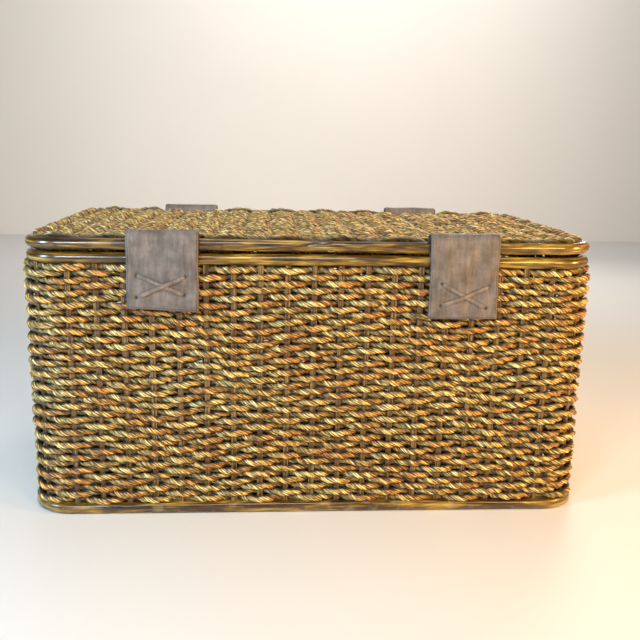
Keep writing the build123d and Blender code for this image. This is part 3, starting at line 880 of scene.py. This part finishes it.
def strap_mesh(name, sx, side, bottom, node, seed, slant=0.0, curl=0.0, holes=(), loop_top=0.0148):
    """One strip folded round the lid rim. side -1 front, +1 back. Local d is outward from the rim."""
    rng = np.random.default_rng(seed)
    hang = LID_Z - bottom
    th = 0.0019
    pts = []
    # outer layer, from its lower edge up
    out_d, in_d, z_top = 0.0118, 0.0097, 0.0050
    for t in np.linspace(0, 1, 40):
        z = -hang + (hang + z_top) * t
        k = np.clip((t - 0.72) / 0.28, 0, 1)
        d = out_d + curl * (1 - t) ** 2.2 - 0.0007 * math.sin(math.pi * t) - 0.0022 * k * k * (3 - 2 * k)
        pts.append((d, z))
    # a slack fold above the rim, down behind it and back underneath
    peak = loop_top
    for a in np.radians(np.linspace(6, 174, 30)):
        pts.append((0.0004 + 0.0092 * math.cos(a), z_top + (peak - z_top) * math.sin(a) ** 0.9))
    for a in np.radians(np.linspace(186, 318, 24)):
        pts.append((0.0080 * math.cos(a), 0.0076 * math.sin(a)))
    # inner layer down to the lower edge
    for t in np.linspace(0, 1, 30):
        k = np.clip(t / 0.10, 0, 1)
        z = -0.0080 - (hang - 0.0090) * t
        d = 0.0076 + (in_d - 0.0076) * k + curl * t ** 2.2
        pts.append((d, z))
    c, tl = resample(pts, 0.0013)
    # relax small kinks
    for _ in range(8):
        c[1:-1] = 0.25 * c[:-2] + 0.5 * c[1:-1] + 0.25 * c[2:]
    t = np.gradient(c, axis=0)
    t /= np.linalg.norm(t, axis=1)[:, None]
    nrm = np.stack([t[:, 1], -t[:, 0]], -1)       # away from the rim on the outer layer
    n = len(c)
    m = int(STRAP_W / 0.0013) + 1
    u = np.linspace(-1, 1, m)
    total = tl[-1]
    wav = Field(rng, 0.045, 8)
    fine = Field(rng, 0.016, 8)
    X = np.zeros((n, m))
    outer_len = hang + z_top
    frac = np.clip(1 - tl / outer_len, 0, 1)      # 1 at the lower edge of the outer layer
    frac_in = np.clip((tl - (total - outer_len)) / outer_len, 0, 1)
    low = np.maximum(frac, frac_in)
    width = STRAP_W / 2 * (1 + 0.012 * np.interp(tl, np.linspace(0, total, 9), rng.uniform(-1, 1, 9)))
    X = sx + u[None, :] * width[:, None]
    D = np.repeat(c[:, :1], m, 1)
    Z = np.repeat(c[:, 1:], m, 1)
    Z = Z + low[:, None] * slant * u[None, :]
    tt = np.repeat(tl[:, None], m, 1)
    press = (0.0008 * wav(X, tt) + 0.00018 * fine(X, tt)) * np.clip(np.maximum(frac * 3, 0.35), 0, 1)[:, None]
    # corners of the leather roll a little
    press = press - 0.0009 * np.clip((np.abs(u[None, :]) - 0.93) / 0.07, 0, 1) ** 2
    hole_at = np.zeros((n, m))
    outer = tl < outer_len
    for hx, hz in holes:
        dist = np.sqrt((X - (sx + hx)) ** 2 + (LID_Z + Z - (bottom + hz)) ** 2)
        k = np.exp(-(dist / 0.0019) ** 4) * outer[:, None]
        hole_at = np.maximum(hole_at, k)
        ring = np.exp(-((dist - 0.0030) / 0.0011) ** 2) * outer[:, None]
        press = press - 0.0013 * k - 0.0002 * ring
    Nd, Nz = nrm[:, :1], nrm[:, 1:]
    # a stitched groove along the side and lower edges
    ed = np.minimum((1 - np.abs(u[None, :])) * STRAP_W / 2 + 0 * tt, tt + 0 * u[None, :])
    groove = np.exp(-((ed - 0.0020) / 0.0007) ** 2) * (tt < outer_len + 0.012)
    top = press - 0.00022 * groove
    fo = [(D + Nd * (th / 2 + top), Z + Nz * (th / 2 + top)), (D - Nd * (th / 2 - press * 0.3), Z - Nz * (th / 2 - press * 0.3))]
    V = []
    for k, (d, z) in enumerate(fo):
        y = side * (HY + d)
        V.append(np.stack([X, y, LID_Z + z], -1).reshape(-1, 3))
    V = np.concatenate(V)
    N = n * m
    Q, F2, UV = [], [], []
    i = np.arange(n - 1)[:, None]
    j = np.arange(m - 1)[None, :]
    a_ = i * m + j
    quad_o = np.stack([a_, a_ + 1, a_ + m + 1, a_ + m], -1).reshape(-1, 4)
    quad_i = np.stack([N + a_, N + a_ + m, N + a_ + m + 1, N + a_ + 1], -1).reshape(-1, 4)
    if side > 0:
        quad_o, quad_i = quad_o[:, ::-1], quad_i[:, ::-1]

    def uvq(quads, y0):
        ij = np.mod(quads, N)
        uu = (ij % m) / (m - 1)
        vv = (ij // m) / (n - 1)
        return np.stack([0.005 + 0.99 * vv, y0 + 0.46 * uu], -1).reshape(-1, 2), np.stack([uu * STRAP_W + seed * 0.3, vv * total + (0 if y0 < 0.4 else 3.0)], -1).reshape(-1, 2)
    u1, f1 = uvq(quad_o, 0.01)
    u2, f2 = uvq(quad_i, 0.48)
    # edges
    E = []
    for row, flip in ((np.arange(m), False), (np.arange(m) + (n - 1) * m, True)):
        e = np.stack([row[:-1], row[:-1] + N, row[1:] + N, row[1:]], -1)
        E.append(e[:, ::-1] if flip else e)
    for col, flip in ((np.arange(n) * m, True), (np.arange(n) * m + m - 1, False)):
        e = np.stack([col[:-1], col[:-1] + N, col[1:] + N, col[1:]], -1)
        E.append(e[:, ::-1] if flip else e)
    E = np.concatenate(E)
    if side > 0:
        E = E[:, ::-1]
    ne = len(E)
    k_ = np.arange(ne)[:, None]
    eu = np.stack([np.stack([(k_ + o1) / ne + 0 * k_, 0.96 + 0.02 * o2 + 0 * k_], -1) for o1, o2 in ((0, 0), (0, 1), (1, 1), (1, 0))], 1).reshape(-1, 2)
    ef = np.stack([np.stack([(k_ + o1) * 0.0013, 7 + o2 * 0.002 + 0 * k_], -1) for o1, o2 in ((0, 0), (0, 1), (1, 1), (1, 0))], 1).reshape(-1, 2)
    edge = np.clip(1 - ed / 0.0011, 0, 1).reshape(-1)
    edge = np.concatenate([edge, np.clip(edge + 0.25, 0, 1)])
    # painted shade in the lace holes of the outer layer
    hole_v = np.concatenate([hole_at.reshape(-1), np.zeros(N)])
    ob = mesh_object(name, V, np.concatenate([quad_o, quad_i, E]), np.concatenate([u1, u2, eu]), {"edge": edge, "hole_shade": hole_v}, mat=M_LEATHER, uv2=np.concatenate([f1, f2, ef]))
    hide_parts(node)
    bend(ob, side)
    # surface lookup for stitches and laces
    surf_d, surf_z = fo[0]

    def surface(x, z):
        """outer face of the outer layer at x and height z (metres, basket frame)"""
        uu = np.clip((x - sx) / (STRAP_W / 2), -1, 1)
        jj = int(round((uu + 1) / 2 * (m - 1)))
        col = LID_Z + surf_z[:, jj]
        rows = np.where(outer)[0]
        ii = rows[np.argmin(np.abs(col[rows] - z))]
        return surf_d[ii, jj]
    info = {"surface": surface, "u": u, "width": width, "tl": tl, "n": n, "m": m, "X": X, "d": surf_d, "z": surf_z, "outer_len": outer_len}
    return ob, info


def capsules(name, items, mat, node, side):
    """Small rounded stitches: items are (centre, along, up, half length, half width)."""
    V, Q = [], []
    nr, ns = 5, 6
    base = 0
    for c, al, up, hl, hw in items:
        al = al / np.linalg.norm(al)
        up = up - (up @ al) * al
        up /= np.linalg.norm(up)
        bi = np.cross(al, up)
        for r_ in range(nr):
            t = -1 + 2 * r_ / (nr - 1)
            w = hw * math.sqrt(max(0.12, 1 - abs(t) ** 2.5))
            for s_ in range(ns):
                b = 2 * math.pi * s_ / ns
                V.append(c + al * hl * t + w * (math.cos(b) * up + math.sin(b) * bi))
        for r_ in range(nr - 1):
            for s_ in range(ns):
                s2 = (s_ + 1) % ns
                Q.append((base + r_ * ns + s_, base + r_ * ns + s2, base + (r_ + 1) * ns + s2, base + (r_ + 1) * ns + s_))
        for r_ in (0, nr - 1):
            o = base + r_ * ns
            f = [(o, o + 1, o + 2, o + 3), (o, o + 3, o + 4, o + 5)]
            Q += f if r_ else [x[::-1] for x in f]
        base += nr * ns
    ob = mesh_object(name, np.array(V), np.array(Q), None, mat=mat)
    bend(ob, side)
    return ob


def stitches(name, info, side, node):
    items = []
    n, m, X, d, z, tl, ol = (info[k] for k in ("n", "m", "X", "d", "z", "tl", "outer_len"))
    pitch, hl = 0.0026, 0.0008

    def at(i, j):
        i0, j0 = int(i), int(j)
        i1, j1 = min(i0 + 1, n - 1), min(j0 + 1, m - 1)
        fi, fj = i - i0, j - j0
        f = lambda M: (M[i0, j0] * (1 - fi) + M[i1, j0] * fi) * (1 - fj) + (M[i0, j1] * (1 - fi) + M[i1, j1] * fi) * fj
        return np.array([f(X), side * (HY + f(d)), LID_Z + f(z)])
    inset = 0.0020
    ju = inset / (STRAP_W / 2) * (m - 1) / 2
    du = tl[1] - tl[0]
    L = inset
    while L < ol + 0.010:
        for j in (ju, m - 1 - ju):
            i = L / du
            if i + 1 < n - 1:
                c = at(i, j)
                items.append((c, at(i + 0.5, j) - c, np.array([0, side * 1.0, 0.0]) if L < ol else c - np.array([c[0], side * HY, LID_Z]), hl, 0.00036))
        L += pitch
    x = ju
    while x < m - 1 - ju:
        i = inset / du
        c = at(i, x)
        items.append((c, at(i, x + 0.5) - c, np.array([0, side * 1.0, 0.0]), hl, 0.00036))
        x += pitch / (STRAP_W / (m - 1))
    return capsules(name, items, M_THREAD, node, side)


def thong(name, info, sx, side, bottom, ends, body, node, seed):
    """Two flat leather runs crossed in an X; ends are four (x, z) hole offsets UL, UR, LL, LR."""
    rng = np.random.default_rng(seed)
    UL, UR, LL, LR = ends
    V, Q, UVs, F2 = [], [], [], []
    base = 0
    secs = 12
    a = np.arange(secs) / secs * 2 * math.pi
    sw = np.sign(np.cos(a)) * np.abs(np.cos(a)) ** 0.55
    sh = np.sign(np.sin(a)) * np.abs(np.sin(a)) ** 0.7
    for k, (p, q, lift) in enumerate(((UL, LR, 0.0), (LL, UR, 0.0011))):
        n = 44
        t = np.linspace(0, 1, n)
        x = sx + p[0] + (q[0] - p[0]) * t
        z = bottom + p[1] + (q[1] - p[1]) * t
        bow = 0.0007 * np.sin(math.pi * t) * rng.uniform(-1, 1)
        dvec = np.array([q[0] - p[0], q[1] - p[1]])
        dvec = dvec / np.linalg.norm(dvec)
        x = x - dvec[1] * bow
        z = z + dvec[0] * bow
        dd = np.array([info["surface"](xx, zz) for xx, zz in zip(x, z)])
        # smooth the surface lookup, then lift over the crossing and dive into the holes
        for _ in range(6):
            dd[1:-1] = 0.25 * dd[:-2] + 0.5 * dd[1:-1] + 0.25 * dd[2:]
        mid = np.median(dd)
        dd = np.maximum(dd, mid - 0.0006)
        prof = 0.00055 + lift * np.exp(-((t - 0.5) / 0.10) ** 2) + 0.0003 * np.sin(math.pi * t)
        dive = np.exp(-(t / 0.035) ** 2) + np.exp(-((1 - t) / 0.035) ** 2)
        dd = dd + prof - 0.0024 * dive
        w = 0.0022 * (1 - 0.25 * dive) * (1 + 0.05 * smoothnoise1(n, rng, 6))
        hgt = np.full(n, 0.00055)
        cen = np.stack([x, side * (HY + dd), z], -1)
        tan = np.gradient(cen, axis=0)
        tan /= np.linalg.norm(tan, axis=1)[:, None]
        up = np.tile(np.array([0, side * 1.0, 0]), (n, 1))
        up = up - (up * tan).sum(1)[:, None] * tan
        up /= np.linalg.norm(up, axis=1)[:, None]
        bi = np.cross(tan, up)
        co = cen[:, None, :] + (w[:, None] * sw[None, :])[..., None] * bi[:, None, :] + (hgt[:, None] * sh[None, :])[..., None] * up[:, None, :]
        V.append(co.reshape(-1, 3))
        i = np.arange(n - 1)[:, None]
        j = np.arange(secs)[None, :]
        j2 = (j + 1) % secs
        Q.append(np.stack([base + i * secs + j, base + i * secs + j2, base + (i + 1) * secs + j2, base + (i + 1) * secs + j], -1).reshape(-1, 4))
        L = 0.055
        q0 = np.stack([np.stack([i / n + 0 * j, (k + 0.05 + 0.9 * j / secs) / 2 + 0 * i], -1), np.stack([i / n + 0 * j, (k + 0.05 + 0.9 * (j + 1) / secs) / 2 + 0 * i], -1),
                       np.stack([(i + 1) / n + 0 * j, (k + 0.05 + 0.9 * (j + 1) / secs) / 2 + 0 * i], -1), np.stack([(i + 1) / n + 0 * j, (k + 0.05 + 0.9 * j / secs) / 2 + 0 * i], -1)], 2).reshape(-1, 2)
        UVs.append(q0)
        F2.append(q0 * np.array([L, 0.02]) + k)
        base += n * secs
    # painted shadow: the edge value darkens both sides of each lace run as an outline of shade
    ob = mesh_object(name, np.concatenate(V), np.concatenate(Q), np.concatenate(UVs), {"edge": np.tile(np.clip((np.abs(np.cos(a)) - 0.80) * 8, 0, 1) * 1.6, base // secs), "hole_shade": np.zeros(base)}, mat=M_THONG, uv2=np.concatenate(F2))
    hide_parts(node)
    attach(ob, body)
    return ob


HOLES_L = [(-0.0255, 0.0355), (0.0230, 0.0345), (-0.0262, 0.0130), (0.0220, 0.0155)]
HOLES_R = [(-0.0235, 0.0370), (0.0262, 0.0340), (-0.0240, 0.0135), (0.0240, 0.0115)]
for hand, sx, holes, slant, curl in (("left", -STRAP_X, HOLES_L, -0.0020, 0.0024), ("right", STRAP_X, HOLES_R, 0.0, 0.0008)):
    bt = TAB_BOT[hand]
    ob, info = strap_mesh("tab_leather_" + hand, sx, -1, bt, "tab_strap_" + hand, 5 if hand == "left" else 6, slant, curl, holes)
    stitches("tab_stitches_" + hand, info, -1, "tab_strap_" + hand)
    thong("tab_thong_" + hand, info, sx, -1, bt, holes, "tab_" + hand, "tab_lace_" + hand, 15 if hand == "left" else 16)
    hl = [(-0.025, 0.036), (0.025, 0.036), (-0.025, 0.013), (0.025, 0.013)]
    ob, info = strap_mesh("hinge_leather_" + hand, sx, 1, HINGE_BOT, "hinge_strap_" + hand, 7 if hand == "left" else 8, 0.0, 0.0, hl)
    stitches("hinge_stitches_" + hand, info, 1, "hinge_strap_" + hand)
    thong("hinge_thong_" + hand, info, sx, 1, HINGE_BOT, hl, "basket", "hinge_lace_" + hand, 17 if hand == "left" else 18)


# =====================================================================
#  Wire staple over the scarf joint
# =====================================================================
def staple():
    pts = []
    x0, z0, w, r = 0.016, LID_Z - 0.0045, 0.0035, 0.00042
    path = [(x0 - w, -HY - 0.0040, z0 + 0.0012), (x0 - w, -HY - 0.0058, z0 + 0.0008), (x0 - w * 0.86, -HY - 0.0062, z0 + 0.0003),
            (x0, -HY - 0.0064, z0), (x0 + w * 0.86, -HY - 0.0062, z0 + 0.0004), (x0 + w, -HY - 0.0058, z0 + 0.0010), (x0 + w, -HY - 0.0040, z0 + 0.0014)]
    p, _ = resample(path, 0.0004)
    t = np.gradient(p, axis=0)
    t /= np.linalg.norm(t, axis=1)[:, None]
    up = np.tile(np.array([0, 0, 1.0]), (len(p), 1))
    up = up - (up * t).sum(1)[:, None] * t
    up /= np.linalg.norm(up, axis=1)[:, None]
    bi = np.cross(t, up)
    secs = 10
    a = np.arange(secs) / secs * 2 * math.pi
    co = p[:, None, :] + r * (np.cos(a)[None, :, None] * up[:, None, :] + np.sin(a)[None, :, None] * bi[:, None, :])
    n = len(p)
    i = np.arange(n - 1)[:, None]
    j = np.arange(secs)[None, :]
    j2 = (j + 1) % secs
    q = np.stack([i * secs + j, i * secs + j2, (i + 1) * secs + j2, (i + 1) * secs + j], -1).reshape(-1, 4)
    ob = mesh_object("scarf_staple", co.reshape(-1, 3), q, None, mat=M_WIRE)
    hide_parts("lid_rim_staple")
    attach(ob, "lid")


staple()

# stakes keep the CAD shapes, with a rattan finish
for name, mat in (("stakes_front", M_STAKE), ("stakes_back", M_STAKE), ("stakes_left", M_STAKE), ("stakes_right", M_STAKE),
                  ("stakes_corners", M_STAKE), ("lid_stakes", M_STAKE_Y), ("base_stakes", M_STAKE_Y)):
    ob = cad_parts[name]
    for sl in ob.material_slots:
        sl.material = mat
    if not ob.material_slots:
        ob.data.materials.append(mat)

# =====================================================================
#  Stage and light
# =====================================================================


def plane(name, verts, mat):
    me = bpy.data.meshes.new(name)
    me.from_pydata(verts, [], [(0, 1, 2, 3)])
    ob = bpy.data.objects.new(name, me)
    bpy.context.scene.collection.objects.link(ob)
    me.materials.append(mat)
    return ob


M_FLOOR = stage_material("stage_floor", (0.74, 0.75, 0.76), 0.45)
M_BACK = stage_material("stage_wall", (0.86, 0.84, 0.80), 0.8)
plane("stage_floor", [(-5, -5, 0), (5, -5, 0), (5, 2.4, 0), (-5, 2.4, 0)], M_FLOOR)
plane("stage_wall", [(-5, 2.4, 0), (5, 2.4, 0), (5, 2.4, 4), (-5, 2.4, 4)], M_BACK)


def area(name, loc, target, size, power, col):
    li = bpy.data.lights.new(name, "AREA")
    li.shape = "RECTANGLE"
    li.size, li.size_y = size
    li.energy = power
    li.color = col
    ob = bpy.data.objects.new(name, li)
    bpy.context.scene.collection.objects.link(ob)
    d = Vector(target) - Vector(loc)
    ob.rotation_euler = d.to_track_quat("-Z", "Y").to_euler()
    ob.location = loc
    return ob


area("cool_left", (-1.35, -0.80, 0.70), (-0.10, -0.1, 0.16), (0.40, 0.50), 19, (0.62, 0.83, 1.0))
area("cool_window", (-0.68, -1.45, 0.95), (-0.15, -0.1, 0.16), (0.35, 0.35), 12, (0.70, 0.87, 1.0))
area("warm_right", (1.25, -0.62, 0.50), (0.10, -0.1, 0.16), (0.30, 0.35), 17, (1.0, 0.50, 0.10))
area("warm_front", (0.72, -1.35, 0.70), (0.2, -0.1, 0.16), (0.28, 0.28), 10, (1.0, 0.60, 0.20))
area("front_high", (0.0, -1.3, 1.7), (0, 0, 0.18), (0.5, 0.3), 10, (1.0, 0.92, 0.76))
area("top_soft", (0.0, 0.35, 1.7), (0, 0, 0.2), (1.2, 0.8), 5, (1.0, 0.94, 0.84))
area("back_fill", (0.3, 1.4, 1.5), (0.1, 2.4, 0.8), (1.8, 0.5), 15, (1.0, 0.97, 0.94))
area("back_soft", (0.9, 1.5, 1.0), (0, 0.1, 0.15), (0.8, 0.6), 8, (1.0, 0.93, 0.84))
w = bpy.data.worlds.new("pale")
w.use_nodes = True
w.node_tree.nodes["Background"].inputs[0].default_value = (0.95, 0.95, 0.96, 1)
w.node_tree.nodes["Background"].inputs[1].default_value = 0.10
bpy.context.scene.world = w
bpy.context.scene.view_settings.view_transform = "Standard"
